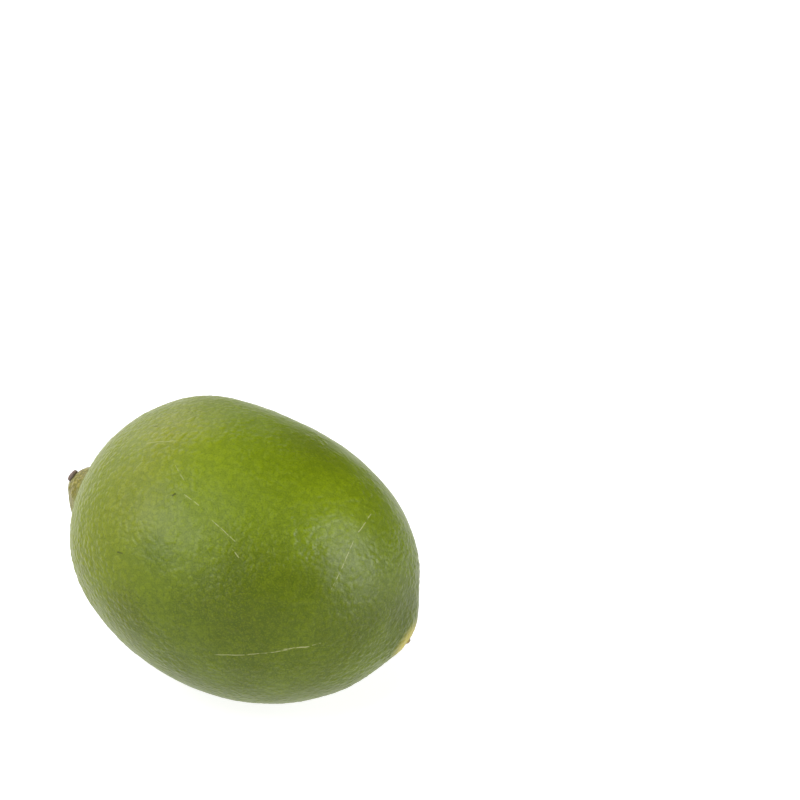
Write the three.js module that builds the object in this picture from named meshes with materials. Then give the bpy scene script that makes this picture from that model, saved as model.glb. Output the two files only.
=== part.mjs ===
// A fresh lime, lying on a small flat spot with its stem end raised.
// Millimetres, +Z up. The long axis runs from the stem end, at -X, to the tip, at +X.
// The rind with its neck and nipple grew as one piece. The woody button on the neck is another.

import * as THREE from 'three';

// Body: a solid of revolution, a little blunter than an ellipsoid at each end
const girthRadius = 25.4; // widest radius, square to the long axis
const stemHalf = 31.2; // widest ring to the stem end, without the neck
const tipHalf = 32.2; // widest ring to the tip, without the nipple
const stemFullness = 2.22; // superellipse exponent: 2 is an ellipse, more is blunter
const tipFullness = 2.08;

// Neck: the knob that the stem grew from, in a shallow furrow of the rind
const neckRise = 3.2; // top of the neck, past the stem end of the body
const neckTopRadius = 1.5;
const neckDrop = 1.4; // its middle, below the long axis
const furrowRadius = 6;
const furrowWidth = 2.2;
const furrowDepth = 0.5;
const neckLean = THREE.MathUtils.degToRad(18); // upwards from the long axis
const neckLeanEnd = 0.6; // share of the neck's height over which it takes up its lean

// Nipple: the low swelling at the tip, which droops a little
const nippleHeight = 1.3;
const nippleSpread = 5.8;
const nippleDrop = 2.1; // its middle, below the long axis

// Button: the cap of woody stem left on the neck
const buttonRadius = 1.15;
const buttonHeight = 0.8;
const buttonEdge = 0.35; // height of its upright rim, below the dome
const buttonGap = 0.3;

// Rest: how the fruit lies
const restLean = THREE.MathUtils.degToRad(15); // dip of the long axis towards the tip
const flatDepth = 1; // how much of the rind the flat spot takes up

// Broad swellings (+) and flats (-) of the rind. along runs on the long axis, and around
// turns about it, from +Y towards the top.
const lumps = [
  { along: 4, around: -126, height: 0.3, spread: 14 },
  { along: -20, around: -136, height: -0.6, spread: 11 },
  { along: 26, around: -126, height: -0.3, spread: 7 },
  { along: -19, around: 54, height: 0.95, spread: 10 },
  { along: -25, around: 60, height: 0.55, spread: 7 },
  { along: 7, around: 54, height: -0.45, spread: 13 },
  { along: 23, around: 40, height: -0.4, spread: 9 },
  { along: -12, around: 130, height: 0.25, spread: 11 },
  { along: 15, around: 170, height: -0.25, spread: 10 },
  { along: -8, around: -30, height: 0.3, spread: 13 },
];

// Fineness of the faceted solids
const segments = 64;
const buttonSegments = 24;
const neckRings = 9;
const shoulderRings = 5;
const bodyRings = 36;
const shoulderAngle = THREE.MathUtils.degToRad(-70); // where the body's own rings start

const xAxis = new THREE.Vector3(1, 0, 0);
const yAxis = new THREE.Vector3(0, 1, 0);

// One point of the body's outline: angle runs from -90 degrees, the stem end, to 90, the tip.
function bodyPoint(angle) {
  const half = angle < 0 ? stemHalf : tipHalf;
  const power = 2 / (angle < 0 ? stemFullness : tipFullness);
  const along = Math.sign(angle) * half * Math.abs(Math.sin(angle)) ** power;
  return new THREE.Vector2(girthRadius * Math.cos(angle) ** power, along);
}

// Where the body's stem end lies at a radius, with the furrow pressed into it.
function stemEnd(radius) {
  const round = (1 - (radius / girthRadius) ** stemFullness) ** (1 / stemFullness);
  const furrow = Math.exp(-(((radius - furrowRadius) / furrowWidth) ** 2));
  return furrowDepth * furrow - stemHalf * round;
}

// The outline of half the fruit, as (radius, place along the axis), from stem to tip.
function fruitOutline() {
  const neckTop = -stemHalf - neckRise;
  const furrowBottom = stemEnd(furrowRadius);
  const shoulder = bodyPoint(shoulderAngle);
  const points = [new THREE.Vector2(0, neckTop), new THREE.Vector2(neckTopRadius / 2, neckTop)];
  for (let i = 0; i <= neckRings; i++) {
    const share = i / neckRings;
    const radius = THREE.MathUtils.lerp(neckTopRadius, furrowRadius, share);
    const fall = THREE.MathUtils.smoothstep(share, 0, 1);
    points.push(new THREE.Vector2(radius, THREE.MathUtils.lerp(neckTop, furrowBottom, fall)));
  }
  for (let i = 1; i < shoulderRings; i++) {
    const radius = THREE.MathUtils.lerp(furrowRadius, shoulder.x, i / shoulderRings);
    points.push(new THREE.Vector2(radius, stemEnd(radius)));
  }
  for (let i = 0; i < bodyRings; i++) {
    points.push(bodyPoint(THREE.MathUtils.lerp(shoulderAngle, Math.PI / 2, i / bodyRings)));
  }
  points.push(new THREE.Vector2(0, tipHalf));
  return points;
}

// The neck's lean is a turn about a level line through the middle of its base.
const neckBase = new THREE.Vector3(stemEnd(furrowRadius), 0, 0);

// The neck and its furrow are shifted down together, and the shoulder takes up the shift.
function dropNeck(point) {
  if (point.x > 0) return;
  const radius = Math.hypot(point.y, point.z);
  const shoulderRadius = bodyPoint(shoulderAngle).x;
  point.z -= neckDrop * (1 - THREE.MathUtils.smoothstep(radius, furrowRadius, shoulderRadius));
}

function leanNeck(point) {
  if (point.x > neckBase.x || Math.hypot(point.y, point.z) > furrowRadius) return;
  const height = (neckBase.x - point.x) / (stemHalf + neckRise + neckBase.x);
  const share = THREE.MathUtils.smoothstep(height, 0, neckLeanEnd);
  point.sub(neckBase).applyAxisAngle(yAxis, share * neckLean).add(neckBase);
}

function swellNipple(point) {
  if (point.x < 0) return;
  const distance = Math.hypot(point.y, point.z + nippleDrop);
  point.x += nippleHeight * Math.exp(-((distance / nippleSpread) ** 3));
}

function swellLumps(point) {
  const outwards = new THREE.Vector3(0, point.y, point.z).normalize();
  let height = 0;
  for (const lump of lumps) {
    const middle = new THREE.Vector3(lump.along, girthRadius, 0);
    middle.applyAxisAngle(xAxis, THREE.MathUtils.degToRad(lump.around));
    height += lump.height * Math.exp(-((point.distanceTo(middle) / lump.spread) ** 2));
  }
  point.addScaledVector(outwards, height);
}

function shapePoints(geometry, shape) {
  const position = geometry.attributes.position;
  const point = new THREE.Vector3();
  for (let i = 0; i < position.count; i++) {
    point.fromBufferAttribute(position, i);
    shape(point);
    position.setXYZ(i, point.x, point.y, point.z);
  }
}

// A lathe turned so that its axis is the fruit's long axis, stem end at -X.
function turned(outline, around) {
  return new THREE.LatheGeometry(outline, around).rotateZ(-Math.PI / 2);
}

function makeFruit() {
  const geometry = turned(fruitOutline(), segments);
  shapePoints(geometry, (point) => {
    swellLumps(point);
    swellNipple(point);
    leanNeck(point);
    dropNeck(point);
  });
  geometry.rotateY(restLean);
  geometry.computeBoundingBox();
  const ground = geometry.boundingBox.min.z + flatDepth;
  shapePoints(geometry, (point) => {
    point.z = Math.max(point.z, ground);
  });
  geometry.computeVertexNormals();
  const rind = new THREE.MeshStandardMaterial({ color: 0x6f8a1f, roughness: 0.42, metalness: 0 });
  const fruit = new THREE.Mesh(geometry, rind);
  fruit.name = 'fruit';
  return fruit;
}

// The button is turned on its own axis, with its foot at the origin and its dome towards -X.
function makeButton() {
  const outline = [new THREE.Vector2(0, -buttonHeight)];
  const domeSteps = 5;
  for (let i = 1; i <= domeSteps; i++) {
    const angle = (i / domeSteps) * (Math.PI / 2);
    const rise = (buttonHeight - buttonEdge) * Math.cos(angle);
    outline.push(new THREE.Vector2(buttonRadius * Math.sin(angle), -buttonEdge - rise));
  }
  outline.push(new THREE.Vector2(buttonRadius, 0), new THREE.Vector2(0, 0));
  const wood = new THREE.MeshStandardMaterial({ color: 0x5a4334, roughness: 0.85, metalness: 0 });
  const button = new THREE.Mesh(turned(outline, buttonSegments), wood);
  button.name = 'stem_button';
  return button;
}

// The neck's own frame: it leans with the neck, and its origin is the foot of the button.
function placeOnNeck(button) {
  const reach = new THREE.Vector3(-stemHalf - neckRise - buttonGap, 0, 0).sub(neckBase);
  const place = reach.applyAxisAngle(yAxis, neckLean).add(neckBase);
  place.z -= neckDrop;
  button.position.copy(place.applyAxisAngle(yAxis, restLean));
  button.rotation.y = neckLean + restLean;
}

const lime = new THREE.Group();
const button = makeButton();
placeOnNeck(button);
lime.add(makeFruit(), button);

// The origin is on the ground, below the middle of the fruit.
const bounds = new THREE.Box3().setFromObject(lime, true);
const middle = bounds.getCenter(new THREE.Vector3());
lime.position.set(-middle.x, -middle.y, -bounds.min.z);

export default lime;
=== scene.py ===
# A fresh lime lying on a white floor in soft studio light. Lengths are metres, and mm is one millimetre.
# The fruit is blown up from a cube, drawn onto the fixed body, and its skin is raised in small cells.
# The woody button is modelled on the neck.
import math

import bpy
from mathutils import Matrix, Vector
from mathutils.bvhtree import BVHTree


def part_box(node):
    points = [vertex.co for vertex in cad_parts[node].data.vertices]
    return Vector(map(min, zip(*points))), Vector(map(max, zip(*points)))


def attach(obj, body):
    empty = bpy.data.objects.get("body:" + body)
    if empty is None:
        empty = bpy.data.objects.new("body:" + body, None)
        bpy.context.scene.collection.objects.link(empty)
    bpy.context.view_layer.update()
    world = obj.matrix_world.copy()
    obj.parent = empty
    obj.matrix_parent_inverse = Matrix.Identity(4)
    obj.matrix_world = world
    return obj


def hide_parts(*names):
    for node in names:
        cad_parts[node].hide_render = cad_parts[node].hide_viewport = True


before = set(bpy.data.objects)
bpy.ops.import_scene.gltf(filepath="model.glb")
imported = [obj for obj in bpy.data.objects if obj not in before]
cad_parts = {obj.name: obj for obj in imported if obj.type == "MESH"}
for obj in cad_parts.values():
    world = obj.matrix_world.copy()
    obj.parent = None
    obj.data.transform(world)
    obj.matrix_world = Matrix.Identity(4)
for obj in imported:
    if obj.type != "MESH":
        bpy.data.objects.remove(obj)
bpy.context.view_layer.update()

mm = 0.001

# The fruit has a frame of its own: x along its long axis from stem to tip, y level, z up.
lean = math.radians(15)        # dip of the long axis towards the tip
neckLean = math.radians(18)    # how much more the neck turns up
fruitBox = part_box("fruit")
girth = (fruitBox[0] + fruitBox[1]) / 2 + Vector((0.8, 0, -0.6)) * mm    # middle of the widest ring
asItLies = Matrix.Rotation(lean, 3, "Y")    # from the fruit's own frame to the way it lies
neckBase = Vector((-30.6, 0, -1.4)) * mm    # middle of the neck's foot, in the fruit's frame
neckShoulder = Vector((-34.8, 0, -1.3)) * mm    # the neck's corner under the button
tipScar = Vector((33.0, -0.6, -3.1)) * mm       # where the flower's style fell off


class Wire:
    # one output of a node, so that sums written on wires add the nodes that do them
    def __init__(self, tree, socket=None):
        self.tree = tree
        self.socket = socket

    def node(self, kind, settings=None, inputs=None, output=0):
        made = self.tree.nodes.new(kind)
        for name, value in (settings or {}).items():
            setattr(made, name, value)
        for name, value in (inputs or {}).items():
            if isinstance(value, Wire):
                self.tree.links.new(value.socket, made.inputs[name])
            else:
                made.inputs[name].default_value = value
        return Wire(self.tree, made.outputs[output])

    def maths(self, operation, *others):
        return self.node("ShaderNodeMath", {"operation": operation}, dict(enumerate((self, *others))))

    def __add__(self, other):
        return self.maths("ADD", other)

    def __sub__(self, other):
        return self.maths("SUBTRACT", other)

    def __rsub__(self, other):
        return self.maths("MULTIPLY_ADD", -1, other)

    def __mul__(self, other):
        return self.maths("MULTIPLY", other)

    __radd__ = __add__
    __rmul__ = __mul__

    def vector(self, operation, other=None, output="Vector"):
        inputs = {0: self} if other is None else {0: self, 1: other}
        return self.node("ShaderNodeVectorMath", {"operation": operation}, inputs, output)

    def axes(self):
        split = self.node("ShaderNodeSeparateXYZ", inputs={0: self}).socket.node
        return [Wire(self.tree, out) for out in split.outputs]

    # 0 at low and 1 at high, with soft ends; high may be the smaller of the two
    def rise(self, low, high):
        return self.node(
            "ShaderNodeMapRange",
            {"interpolation_type": "SMOOTHSTEP"},
            {"Value": self, "From Min": low, "From Max": high},
        )

    # soft noise about 0.5 with features of that size, read at this place
    def noise(self, size, detail=2.0, roughness=0.5, output=0):
        inputs = {"Vector": self, "Scale": 1 / size, "Detail": detail, "Roughness": roughness}
        return self.node("ShaderNodeTexNoise", inputs=inputs, output=output)

    # distance to the nearest of many scattered points, as a share of their spacing
    def cells(self, spacing):
        inputs = {"Vector": self, "Scale": 1 / spacing}
        return self.node("ShaderNodeTexVoronoi", inputs=inputs, output="Distance")

    # one colour where this wire is 0 and the other where it is 1
    def blend(self, low, high):
        return self.node("ShaderNodeMix", {"data_type": "RGBA"}, {0: self, 6: low, 7: high}, 2)

    def tint(self, colour, mask):
        return mask.blend(self, colour)


def colour(red, green, blue):    # screen values, 0 to 255
    shares = [value / 255 for value in (red, green, blue)]
    return (*[s / 12.92 if s <= 0.04045 else ((s + 0.055) / 1.055) ** 2.4 for s in shares], 1)


# steps of modelling that come up again and again
def makeActive(thing):
    for other in bpy.context.selected_objects:
        other.select_set(False)
    thing.hide_set(False)
    thing.select_set(True)
    bpy.context.view_layer.objects.active = thing


def applyModifier(thing, kind, **settings):
    makeActive(thing)
    modifier = thing.modifiers.new(kind.lower(), kind)
    for name, value in settings.items():
        setattr(modifier, name, value)
    bpy.ops.object.modifier_apply(modifier=modifier.name)


def subdivide(thing, levels):
    applyModifier(thing, "SUBSURF", levels=levels, render_levels=levels, uv_smooth="NONE")


# edit mode with only the wanted vertices or faces selected
def choose(thing, mode, wanted):
    bpy.ops.object.mode_set(mode="EDIT")
    bpy.ops.mesh.select_mode(type=mode)
    bpy.ops.mesh.select_all(action="DESELECT")
    bpy.ops.object.mode_set(mode="OBJECT")
    for part in thing.data.vertices if mode == "VERT" else thing.data.polygons:
        part.select = wanted(part)
    bpy.ops.object.mode_set(mode="EDIT")


def placeInMesh(thing):
    makeActive(thing)
    bpy.ops.object.transform_apply(location=True, rotation=True, scale=True)


# the fruit's skin, shared by its shape and its finish
skin = {
    "waves": 0.3 * mm,        # height of the slow swells
    "waveSize": 6 * mm,
    "pebbles": 0.06 * mm,     # height of the small bumps between the oil glands
    "pebbleSize": 1.05 * mm,
    "wobble": 0.7 * mm,       # how far the rows of bumps wander
    "wrinkles": 0.1 * mm,     # fine leathery grain, only in the finish
    "wrinkleSize": 0.52 * mm,
    "plainRelief": 0.35,      # share of that relief in the smoothest places
    "patchRelief": 0.5,       # and how much more it has in patches, towards the stem and towards the tip
    "stemRelief": 0.9,
    "tipRelief": 0.8,
    "patchSize": 8 * mm,
    "neckFill": 0.08 * mm,    # how much the neck is swollen
    "footFill": 0.42 * mm,    # and its foot, in the furrow
    "shoulder": 0.4 * mm,     # and its corner under the button
    "ridges": 0.55 * mm,      # wrinkles that run up the neck
    "scarHeight": 0.35 * mm,  # dry bud at the tip
    "scarSize": 0.75 * mm,
}
# where the neck's relief fades in or out, as distances out from its middle
neckRings = {
    "fill": (0.3 * mm, 1.4 * mm),
    "ridges": (0.9 * mm, 2.4 * mm),
    "footInside": (2.6 * mm, 4.4 * mm),
    "footOutside": (7.6 * mm, 5.4 * mm),
    "edge": (9 * mm, 4.5 * mm),
    "colour": (6 * mm, 4.2 * mm),
    "shoulder": (1.4 * mm, 0.3 * mm),    # this one from the corner under the button
}


# a place on the lying fruit, as a place in the fruit's own frame
def ownPlace(place):
    return place.node(
        "ShaderNodeVectorRotate",
        {"rotation_type": "Y_AXIS", "invert": True},
        {"Vector": place.vector("SUBTRACT", girth), "Angle": lean},
    )


# 1 on top of a small bump of the skin, 0 in the hollows between
def pebbles(own):
    wobble = own.noise(2.2 * mm, output=1).vector("SUBTRACT", (0.5, 0.5, 0.5))
    wandering = own.vector("ADD", wobble.vector("MULTIPLY", (skin["wobble"],) * 3))
    return wandering.cells(skin["pebbleSize"]).rise(0.7, 0.1)


# the relief is rougher towards both ends of the fruit, and here and there along it
def coarseness(own):
    along = own.axes()[0]
    ends = along.rise(20 * mm, 31 * mm) * skin["tipRelief"]
    ends = ends + along.rise(-6 * mm, -28 * mm) * skin["stemRelief"]
    patchy = own.noise(skin["patchSize"], 1.0).rise(0.35, 0.65) * skin["patchRelief"]
    return ends + patchy + skin["plainRelief"]


# distances from the neck's foot: along the axis, and out from it with the way it lies
def roundNeck(own):
    fromNeck = own.vector("SUBTRACT", neckBase)
    across = fromNeck.vector("MULTIPLY", (0, 1, 1))
    return fromNeck.axes()[0], across.vector("LENGTH", output="Value"), across.vector("NORMALIZE")


def nearTip(own, low, high):
    return own.vector("DISTANCE", tipScar, output="Value").rise(low, high)


# height of the neck's folds and fillings
def neckHeight(own):
    along, out, way = roundNeck(own)
    onNeck = along.rise(4 * mm, 1.5 * mm) * out.rise(*neckRings["edge"])
    ridges = (way.noise(0.55, 1.0) - 0.5) * out.rise(*neckRings["ridges"]) * skin["ridges"]
    fill = out.rise(*neckRings["fill"]) * skin["neckFill"]
    foot = out.rise(*neckRings["footInside"]) * out.rise(*neckRings["footOutside"])
    foot = foot * along.rise(4 * mm, 2.5 * mm)
    shoulder = own.vector("DISTANCE", neckShoulder, output="Value").rise(*neckRings["shoulder"])
    return (ridges + fill) * onNeck + foot * skin["footFill"] + shoulder * skin["shoulder"]


# height of the skin over the smooth body, in metres
def skinHeight(place):
    own = ownPlace(place)
    ground = place.axes()[2]
    waves = (own.noise(skin["waveSize"], 1.0) - 0.5) * skin["waves"]
    bumps = pebbles(own) * coarseness(own) * skin["pebbles"]
    bud = nearTip(own, skin["scarSize"], 0.2 * mm) * skin["scarHeight"]
    return (waves + bumps) * ground.rise(0.1 * mm, 1.5 * mm) + neckHeight(own) + bud


def raiseSkin(fruit):
    tree = bpy.data.node_groups.new("raiseSkin", "GeometryNodeTree")
    for way in ("INPUT", "OUTPUT"):
        tree.interface.new_socket(name="Geometry", in_out=way, socket_type="NodeSocketGeometry")
    shape = Wire(tree).node("NodeGroupInput")
    height = skinHeight(shape.node("GeometryNodeInputPosition"))
    normal = shape.node("GeometryNodeInputNormal")
    offset = normal.node("ShaderNodeVectorMath", {"operation": "SCALE"}, {0: normal, "Scale": height})
    raised = shape.node("GeometryNodeSetPosition", inputs={"Geometry": shape, "Offset": offset})
    tree.links.new(raised.socket, tree.nodes.new("NodeGroupOutput").inputs[0])
    applyModifier(fruit, "NODES", node_group=tree)


fruitBuild = {
    "ball": 15 * mm,        # radius of the ball that is blown out to the rind
    "levels": 7,            # 128 quads along each side of the cube
    "gatherReach": 8 * mm,  # quads are drawn together at both ends, where the shape is finest
    "gather": {-1: 0.5, 1: 0.7},
    "mouldLevels": 2,
    "margin": 0.006,        # kept free round each side in the texture layout
}


# the cube's six sides, laid out in three columns and two rows
def layOutSides(cube):
    cube.data.uv_layers[0].name = "OFBake"
    corners = ((0, 0), (1, 0), (1, 1), (0, 1))
    margin = fruitBuild["margin"]
    for side in cube.data.polygons:
        column, row = side.index % 3, side.index // 3
        for loop, (across, up) in zip(side.loop_indices, corners):
            u = (column + margin + across * (1 - 2 * margin)) / 3
            v = (row + margin + up * (1 - 2 * margin)) / 2
            cube.data.uv_layers[0].data[loop].uv = (u, v)


# a smooth copy of the fixed body, which the ball is drawn onto
def makeMould():
    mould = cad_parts["fruit"].copy()
    mould.data = mould.data.copy()
    bpy.context.scene.collection.objects.link(mould)
    makeActive(mould)
    bpy.ops.object.mode_set(mode="EDIT")
    bpy.ops.mesh.select_all(action="SELECT")
    bpy.ops.mesh.remove_doubles(threshold=0.001 * mm)
    bpy.ops.mesh.tris_convert_to_quads()
    bpy.ops.object.mode_set(mode="OBJECT")
    subdivide(mould, fruitBuild["mouldLevels"])
    return mould


def gatherQuads(ball, end):
    pole = Vector((end * fruitBuild["ball"], 0, 0))
    choose(ball, "VERT", lambda vertex: (vertex.co - pole).length < 0.01 * mm)
    share = fruitBuild["gather"][end]
    bpy.ops.transform.resize(
        value=(share, share, share),
        use_proportional_edit=True,
        proportional_edit_falloff="SMOOTH",
        proportional_size=fruitBuild["gatherReach"],
    )
    bpy.ops.object.mode_set(mode="OBJECT")


def makeFruit():
    ball = fruitBuild["ball"]
    bpy.ops.mesh.primitive_cube_add(size=2 * ball, location=girth, rotation=(0, lean, 0))
    fruit = bpy.context.object
    fruit.name = "lime_fruit"
    layOutSides(fruit)
    subdivide(fruit, fruitBuild["levels"])
    for end in (-1, 1):
        applyModifier(fruit, "CAST", cast_type="SPHERE", factor=1, size=ball)
        makeActive(fruit)
        gatherQuads(fruit, end)
    applyModifier(fruit, "CAST", cast_type="SPHERE", factor=1, size=ball)
    placeInMesh(fruit)
    mould = makeMould()
    applyModifier(fruit, "SHRINKWRAP", target=mould, wrap_method="PROJECT", use_positive_direction=True)
    bpy.data.objects.remove(mould)
    applyModifier(fruit, "SMOOTH", factor=0.5, iterations=2)
    raiseSkin(fruit)
    bpy.ops.object.shade_smooth()
    return fruit


rindColours = {
    "leaf": colour(108, 127, 4),
    # deep green: used for the painted shade on the lower front side, for slow clouds and for some patches
    "deep": colour(72, 83, 3),
    # lighter green, painted as light where the right light and the top light fall
    "paintedLightGreen": colour(128, 147, 6),
    "straw": colour(133, 139, 10),      # towards the stem
    "tip": colour(186, 172, 66),        # blush on the nipple
    "neck": colour(112, 106, 28),
    "neckSpot": colour(150, 142, 52),
    # dark green: painted shade in the hollows between the small bumps, and also the dark specks
    "hollow": colour(62, 82, 3),
    "fleck": colour(136, 152, 12),
    "bud": colour(104, 66, 30),
    "cork": colour(186, 186, 132),      # dried scratches
    "dent": colour(48, 52, 16),
    "bruise": colour(66, 88, 22),
}
rindLook = {
    "shade": 0.54,               # how far the painted shade turns the lower side, towards the front and the tip, deep green
    "mottle": 0.9,               # and how far slow clouds do, all over
    "mottleSize": 10 * mm,
    "straw": 0.68,               # strength of the straw tone towards the stem
    "hollow": 0.22,              # strength of the painted shade in the net of hollows between the small bumps
    "shadedHollow": 0.1,         # and how much stronger that painted shade is on the shaded side
    "flecks": 0.22,
    "fleckSpacing": 0.75 * mm,
    "specks": {"fleck": 0.3, "hollow": 0.4},
    "speckSize": 0.26 * mm,
    "tip": 0.9,
    "roughness": 0.32,
    "grainRoughness": 0.12,      # how much rougher the tops of the grain are
    "scratchRoughness": 0.2,
    "scratchHeight": 0.02 * mm,
    "shine": 0.2,
    "bloom": 0.08,               # pale waxy bloom, seen at the edges
    "bloomRoughness": 0.4,
    "bloomColour": colour(250, 248, 190),
}
# soft patches, at (along the axis in mm, degrees round it from +y to the top); some are painted light and
# some painted shade, as marked
patches = [
    {"at": (-9, 158), "colour": "bruise", "size": 4.5, "strength": 0.42},
    # painted shade on the middle of the front, carrying the painted shade of the lower side further up
    {"at": (9, 150), "colour": "deep", "size": 9, "strength": 0.55},
    {"at": (-16, 108), "colour": "straw", "size": 10, "strength": 0.6},
    # painted light where the right light falls, which also undoes the painted shade there
    {"at": (17, 108), "colour": "paintedLightGreen", "size": 9, "strength": 0.5},
    # painted light on the upper left, under the top light
    {"at": (-7, 116), "colour": "paintedLightGreen", "size": 10, "strength": 0.5},
    # painted shadow along the top, from another fruit lying against it
    {"at": (7, 84), "colour": "deep", "size": 8, "strength": 0.4},
    {"at": (4, -40), "colour": "straw", "size": 12, "strength": 0.35},
    {"at": (-14, -120), "colour": "deep", "size": 9, "strength": 0.4},
]
paintedShadeWay = Vector((0.45, -0.5, -0.74))    # the lower side, towards the front and the tip, which is darkened as painted shade
# scratches: from and to as (along the axis in mm, degrees round it from +y to the top)
scratches = [
    {"from": (6.5, -170), "to": (18, 178.5), "width": 0.1, "strength": 0.75},
    {"from": (17, 179), "to": (23.6, 171), "width": 0.13, "strength": 0.85},
    {"from": (-7.8, 133), "to": (-4.5, 135), "width": 0.12, "strength": 0.35},
    {"from": (-1.5, 138), "to": (3.8, 142), "width": 0.11, "strength": 0.45},
    {"from": (3.6, 145), "to": (5.4, 147), "width": 0.13, "strength": 0.45},
    {"from": (20.8, 97), "to": (20.6, 112), "width": 0.12, "strength": 0.7},
    {"from": (20.6, 117), "to": (20.8, 145), "width": 0.11, "strength": 0.55},
    {"from": (-19.2, 115), "to": (-13.7, 111), "width": 0.12, "strength": 0.3},
    {"from": (-11.9, 123), "to": (-8.9, 128), "width": 0.12, "strength": 0.25},
    {"from": (-4, 20), "to": (9, 31), "width": 0.11, "strength": 0.5},
    {"from": (10, -62), "to": (16, -78), "width": 0.12, "strength": 0.5},
]
dents = [
    {"from": (-9.6, 135.6), "to": (-9.2, 134), "width": 0.28, "strength": 0.75},
    {"from": (-15.3, 166.5), "to": (-14.1, 165.5), "width": 0.26, "strength": 0.6},
    {"from": (-20.1, 102.2), "to": (-19.2, 103.4), "width": 0.3, "strength": 0.5},
]


# the place and the outward direction of the body's skin at a place along and round the axis
def onRind(body, along, around):
    angle = math.radians(around)
    start = girth + asItLies @ Vector((along * mm, 0, 0))
    way = asItLies @ Vector((0, math.cos(angle), math.sin(angle)))
    place, facing = body.ray_cast(start, way)[:2]
    return place, facing


# 1 along a thin straight line between two places on the skin, broken up as a dry scratch is
def scratchMask(place, body, scratch):
    start, facing = onRind(body, *scratch["from"])
    finish = onRind(body, *scratch["to"])[0]
    run = finish - start
    side = run.cross(facing).normalized()
    fromStart = place.vector("SUBTRACT", start)
    width = scratch["width"] * mm
    wander = (place.noise(2.5 * mm, 1.0) - 0.5) * (4 * width)
    aside = (fromStart.vector("DOT_PRODUCT", side, output="Value") + wander).maths("ABSOLUTE")
    share = fromStart.vector("DOT_PRODUCT", run / run.length_squared, output="Value")
    outside = fromStart.vector("DOT_PRODUCT", facing, output="Value").rise(-8 * mm, -6 * mm)
    ends = share.rise(-0.02, 0.06) * share.rise(1.02, 0.94)
    gaps = place.noise(1.4 * mm, 3.0).rise(0.36, 0.5)
    return aside.rise(width, width * 0.25) * ends * gaps * outside * scratch["strength"]


def anyOf(marks, place, body):
    masks = [scratchMask(place, body, mark) for mark in marks]
    worst = masks[0]
    for mask in masks[1:]:
        worst = worst.maths("MAXIMUM", mask)
    return worst


def makeMaterial(name):
    material = bpy.data.materials.new(name)
    material.use_nodes = True
    shader = material.node_tree.nodes["Principled BSDF"]
    place = Wire(material.node_tree).node("ShaderNodeTexCoord", output="Object")
    return material, shader, place


def feed(shader, socket, wire):
    wire.tree.links.new(wire.socket, shader.inputs[socket])


# height in metres
def feedRelief(shader, height):
    bump = height.node("ShaderNodeBump", inputs={"Height": height, "Distance": 1, "Strength": 1})
    feed(shader, "Normal", bump)


# green, darkened to deep green as painted shade on the lower front side and by slow clouds, straw towards the
# stem and less so on the shaded side, with soft patches
def groundColour(place, own, paintedShade, body):
    # painted shade on the lower front side, plus slow clouds of deep green
    deep = paintedShade * rindLook["shade"] + (own.noise(rindLook["mottleSize"], 3.0) - 0.5) * rindLook["mottle"]
    base = deep.rise(0, 1).blend(rindColours["leaf"], rindColours["deep"])
    stemwards = own.axes()[0].rise(6 * mm, -26 * mm) * 0.75 + (own.noise(9 * mm, 2.0) - 0.5) * 0.5
    base = base.tint(rindColours["straw"], stemwards.rise(0, 1) * (1 - paintedShade * 0.5) * rindLook["straw"])
    blur = own.noise(4 * mm, 2.0) - 0.5
    for patch in patches:
        away = place.vector("DISTANCE", onRind(body, *patch["at"])[0], output="Value")
        size = patch["size"] * mm
        inside = (away + blur * size).rise(1.2 * size, 0)
        base = base.tint(rindColours[patch["colour"]], inside * patch["strength"])
    return base


# painted shade in the net of hollows, pale flecks of oil glands, and fine specks
def addFlecks(base, own, bumps, paintedShade):
    paintedHollowShade = bumps.rise(0.5, 0) * (rindLook["hollow"] + paintedShade * rindLook["shadedHollow"])
    base = base.tint(rindColours["hollow"], paintedHollowShade)
    flecks = own.cells(rindLook["fleckSpacing"]).rise(0.3, 0.1) * own.noise(4 * mm, 2.0).rise(0.4, 0.62)
    base = base.tint(rindColours["fleck"], flecks * rindLook["flecks"])
    specks = own.noise(rindLook["speckSize"], 1.0)
    base = base.tint(rindColours["fleck"], specks.rise(0.5, 0.75) * rindLook["specks"]["fleck"])
    return base.tint(rindColours["hollow"], specks.rise(0.5, 0.25) * rindLook["specks"]["hollow"])


# the blush and bud at the tip, and the olive neck with its pale spots
def addEnds(base, own):
    along, out = roundNeck(own)[:2]
    base = base.tint(rindColours["tip"], nearTip(own, 5 * mm, 1.6 * mm) * rindLook["tip"])
    onNeck = along.rise(0.8 * mm, -0.2 * mm) * out.rise(*neckRings["colour"])
    base = base.tint(rindColours["neck"], onNeck)
    base = base.tint(rindColours["neckSpot"], onNeck * own.noise(0.5 * mm, 2.0).rise(0.5, 0.65))
    return base.tint(rindColours["bud"], nearTip(own, 1.1 * mm, 0.5 * mm))


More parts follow.
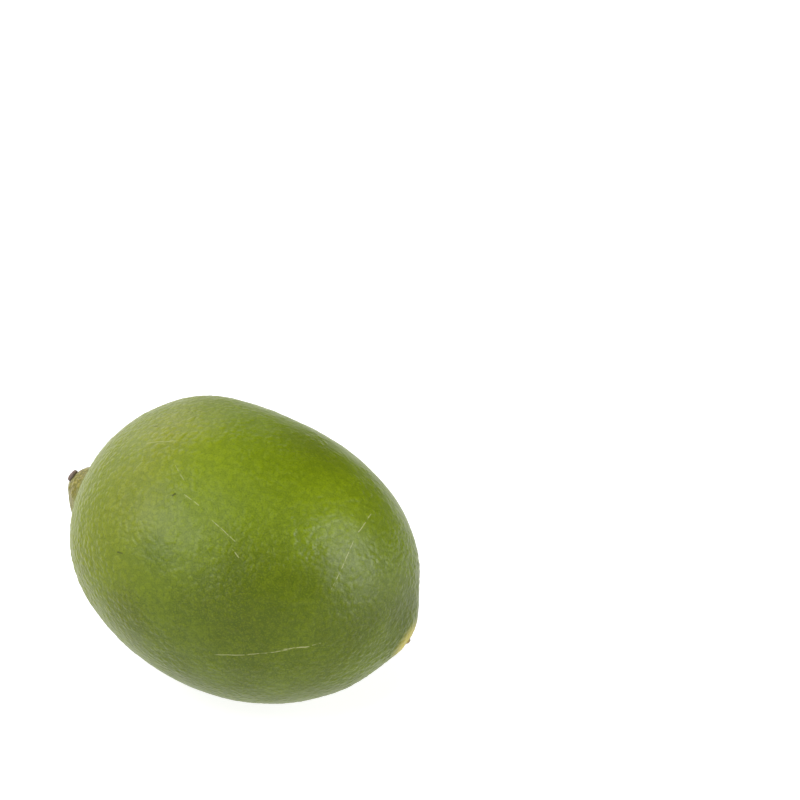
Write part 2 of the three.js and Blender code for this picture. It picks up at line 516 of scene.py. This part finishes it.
def rindMaterial(body):
    material, shader, place = makeMaterial("limeRind")
    own = ownPlace(place)
    bumps = pebbles(own)
    wrinkles = own.noise(skin["wrinkleSize"], 1.0, 0.4)
    scratch = anyOf(scratches, place, body)
    # painted shade: 1 on the lower side towards the front and the tip, 0 on the upper side
    paintedShade = own.vector("DOT_PRODUCT", paintedShadeWay, output="Value").rise(-6 * mm, 14 * mm)
    base = groundColour(place, own, paintedShade, body)
    base = addEnds(addFlecks(base, own, bumps, paintedShade), own)
    base = base.tint(rindColours["cork"], scratch)
    base = base.tint(rindColours["dent"], anyOf(dents, place, body))
    feed(shader, "Base Color", base)
    rough = wrinkles * rindLook["grainRoughness"] + scratch * rindLook["scratchRoughness"]
    feed(shader, "Roughness", rindLook["roughness"] + rough)
    height = (wrinkles * skin["wrinkles"] + bumps * skin["pebbles"]) * coarseness(own)
    feedRelief(shader, height + scratch * rindLook["scratchHeight"])
    shader.inputs["Specular IOR Level"].default_value = rindLook["shine"]
    shader.inputs["Sheen Weight"].default_value = rindLook["bloom"]
    shader.inputs["Sheen Roughness"].default_value = rindLook["bloomRoughness"]
    shader.inputs["Sheen Tint"].default_value = rindLook["bloomColour"]
    return material


# the button of stem on the neck
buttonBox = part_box("stem_button")
buttonMiddle = (buttonBox[0] + buttonBox[1]) / 2
buttonTilt = lean + neckLean
buttonAxis = Vector((-math.cos(buttonTilt), 0, math.sin(buttonTilt)))    # outwards from the neck
buttonBuild = {
    "radius": 1.05 * mm,
    "height": 0.7 * mm,
    "sunk": 0.6 * mm,       # how far its foot reaches down into the neck
    "lift": (0.26 * mm, 0, 0.06 * mm),
    "lobes": 5,
    "lobe": 1.14,           # how far a lobe stands out past the hollows between them
    "grit": 0.12 * mm,      # roughness of its outline
    "gritSize": 0.35 * mm,
    "wood": colour(124, 104, 98),
    "grain": colour(62, 48, 42),
    "rim": colour(128, 108, 92),
    "foot": colour(70, 60, 34),
    "grainSize": 0.22 * mm,
    "grainHeight": 0.05 * mm,
    # each step towards the middle: how far in, how far up
    "steps": ((0.1, 0.14), (0.22, 0.12), (0.18, -0.1), (0.16, -0.06), (0.08, 0.22), (0.1, 0.02)),
}


def makeButton():
    radius, height, sunk = buttonBuild["radius"], buttonBuild["height"], buttonBuild["sunk"]
    tall = height + sunk
    bpy.ops.mesh.primitive_cylinder_add(vertices=20, radius=radius, depth=tall, location=(0, 0, 0))
    button = bpy.context.object
    button.name = "lime_button"
    # a rounded rim, a dish inside it, and the broken stub of the stem in the middle
    for inset, lift in buttonBuild["steps"]:
        choose(button, "FACE", lambda face: face.normal.z > 0.9 and len(face.vertices) > 4)
        bpy.ops.mesh.inset(thickness=inset * mm)
        bpy.ops.transform.translate(value=(0, 0, lift * mm))
        bpy.ops.object.mode_set(mode="OBJECT")
    step = 2 * math.pi / buttonBuild["lobes"]
    stretch = radius * (buttonBuild["lobe"] - 1)
    for lobe in range(buttonBuild["lobes"]):
        angle = lobe * step + 0.3
        way = Vector((math.cos(angle), math.sin(angle), 0))
        choose(button, "VERT", lambda v: v.co.xy.length > 0.8 * radius and v.co.xy.angle(way.xy) < 0.3 * step)
        bpy.ops.transform.translate(value=way * stretch)
        bpy.ops.object.mode_set(mode="OBJECT")
    subdivide(button, 4)
    roughenButton(button)
    button.location = buttonMiddle + Vector(buttonBuild["lift"]) - buttonAxis * (sunk / 2)
    button.rotation_euler = (0, buttonTilt - math.pi / 2, 0)
    placeInMesh(button)
    bpy.ops.object.shade_smooth()
    return button


def roughenButton(button):
    grit = bpy.data.textures.new("buttonGrit", "CLOUDS")
    grit.noise_scale = buttonBuild["gritSize"]
    grit.noise_depth = 3
    strength = buttonBuild["grit"]
    applyModifier(button, "DISPLACE", texture=grit, strength=strength, mid_level=0.5, texture_coords="LOCAL")


def buttonMaterial():
    material, shader, place = makeMaterial("buttonWood")
    fromMiddle = place.vector("SUBTRACT", buttonMiddle)
    height = fromMiddle.vector("DOT_PRODUCT", buttonAxis, output="Value")
    away = fromMiddle.vector("CROSS_PRODUCT", buttonAxis).vector("LENGTH", output="Value")
    grain = place.noise(buttonBuild["grainSize"], 4.0, 0.65)
    wood = grain.rise(0.46, 0.62).blend(buttonBuild["wood"], buttonBuild["grain"])
    wood = wood.tint(buttonBuild["rim"], away.rise(0.7 * mm, 1.1 * mm) * 0.5)
    wood = wood.tint(buttonBuild["foot"], height.rise(0.05 * mm, -0.3 * mm) * 0.9)
    feed(shader, "Base Color", wood)
    feed(shader, "Roughness", 0.6 + grain * 0.3)
    feedRelief(shader, grain * buttonBuild["grainHeight"])
    return material


# the stage: camera, floor and lights
camera = {
    "azimuth": math.radians(20),
    "elevation": math.radians(26),
    "distance": 0.3955,
    "right": 0.0278,     # the camera looks past the fruit, this far to its right and above it
    "above": 0.0269,
    "lens": 100,
}
floor = {
    "size": 6,
    "grey": 0.4,    # how much light it gives back
    "glow": 0.9,    # and how much it adds, so that it stays white
}
lights = {
    # way is (degrees round from the front to the right, degrees up); shine is how much
    # brighter the box is in reflections than it is on the matt side of things
    "left": {"way": (-34, 33), "away": 0.8, "size": (0.85, 0.6), "power": 0.75, "shine": 20},
    "right": {"way": (88, 18), "away": 0.8, "size": (0.4, 0.7), "power": 2.8, "shine": 4.8},
    "top": {"way": (-35, 70), "away": 0.9, "size": (0.9, 0.9), "power": 11, "shine": 0},
    "back": {"way": (-132, 10), "away": 0.9, "size": (0.9, 0.9), "power": 2.2, "shine": 15},
}


def makeCamera():
    data = bpy.data.cameras.new("camera")
    data.lens = camera["lens"]
    data.clip_start, data.clip_end = 0.01, 20
    thing = bpy.data.objects.new("camera", data)
    bpy.context.scene.collection.objects.link(thing)
    tilt = math.pi / 2 - camera["elevation"]
    turn = Matrix.Rotation(camera["azimuth"], 3, "Z") @ Matrix.Rotation(tilt, 3, "X")
    thing.rotation_euler = turn.to_euler()
    thing.location = girth + turn @ Vector((camera["right"], camera["above"], camera["distance"]))
    bpy.context.scene.camera = thing


def makeFloor():
    bpy.ops.mesh.primitive_plane_add(size=floor["size"], location=(0, 0, 0))
    sheet = bpy.context.object
    sheet.name = "floor"
    material, shader = makeMaterial("whiteFloor")[:2]
    shader.inputs["Base Color"].default_value = (floor["grey"],) * 3 + (1,)
    shader.inputs["Roughness"].default_value = 0.9
    shader.inputs["Specular IOR Level"].default_value = 0.1
    shader.inputs["Emission Color"].default_value = (1, 1, 1, 1)
    shader.inputs["Emission Strength"].default_value = floor["glow"]
    sheet.data.materials.append(material)


def makeSoftbox(name, look):
    around, up = (math.radians(angle) for angle in look["way"])
    way = Vector((math.sin(around) * math.cos(up), -math.cos(around) * math.cos(up), math.sin(up)))
    for part, share in (("Light", 1), ("Shine", look["shine"])):
        data = bpy.data.lights.new(name + part, "AREA")
        data.shape = "RECTANGLE"
        data.size, data.size_y = look["size"]
        data.energy = look["power"] * share
        box = bpy.data.objects.new(name + part, data)
        bpy.context.scene.collection.objects.link(box)
        box.location = girth + way * look["away"]
        box.rotation_euler = way.to_track_quat("Z", "Y").to_euler()
        box.visible_glossy = part == "Shine"
        box.visible_diffuse = part == "Light"


def makeWorld():
    world = bpy.data.worlds.new("studio")
    world.use_nodes = True
    background = world.node_tree.nodes["Background"]
    background.inputs["Color"].default_value = (1, 1, 1, 1)
    background.inputs["Strength"].default_value = 1
    # the white surroundings are only seen, and light nothing
    world.cycles_visibility.diffuse = False
    world.cycles_visibility.glossy = False
    bpy.context.scene.world = world
    bpy.context.scene.view_settings.view_transform = "Standard"


makeCamera()
makeWorld()
makeFloor()
for name, look in lights.items():
    makeSoftbox(name, look)
print("stage made")

fruit = makeFruit()
print("fruit made:", len(fruit.data.polygons), "quads")
button = makeButton()
print("button made:", len(button.data.polygons), "quads")

body = BVHTree.FromObject(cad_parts["fruit"], bpy.context.evaluated_depsgraph_get())
fruit.data.materials.append(rindMaterial(body))
button.data.materials.append(buttonMaterial())
print("materials made")

for piece, node, slot in ((fruit, "fruit", "rind"), (button, "stem_button", "button_wood")):
    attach(piece, "root")
    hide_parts(node)
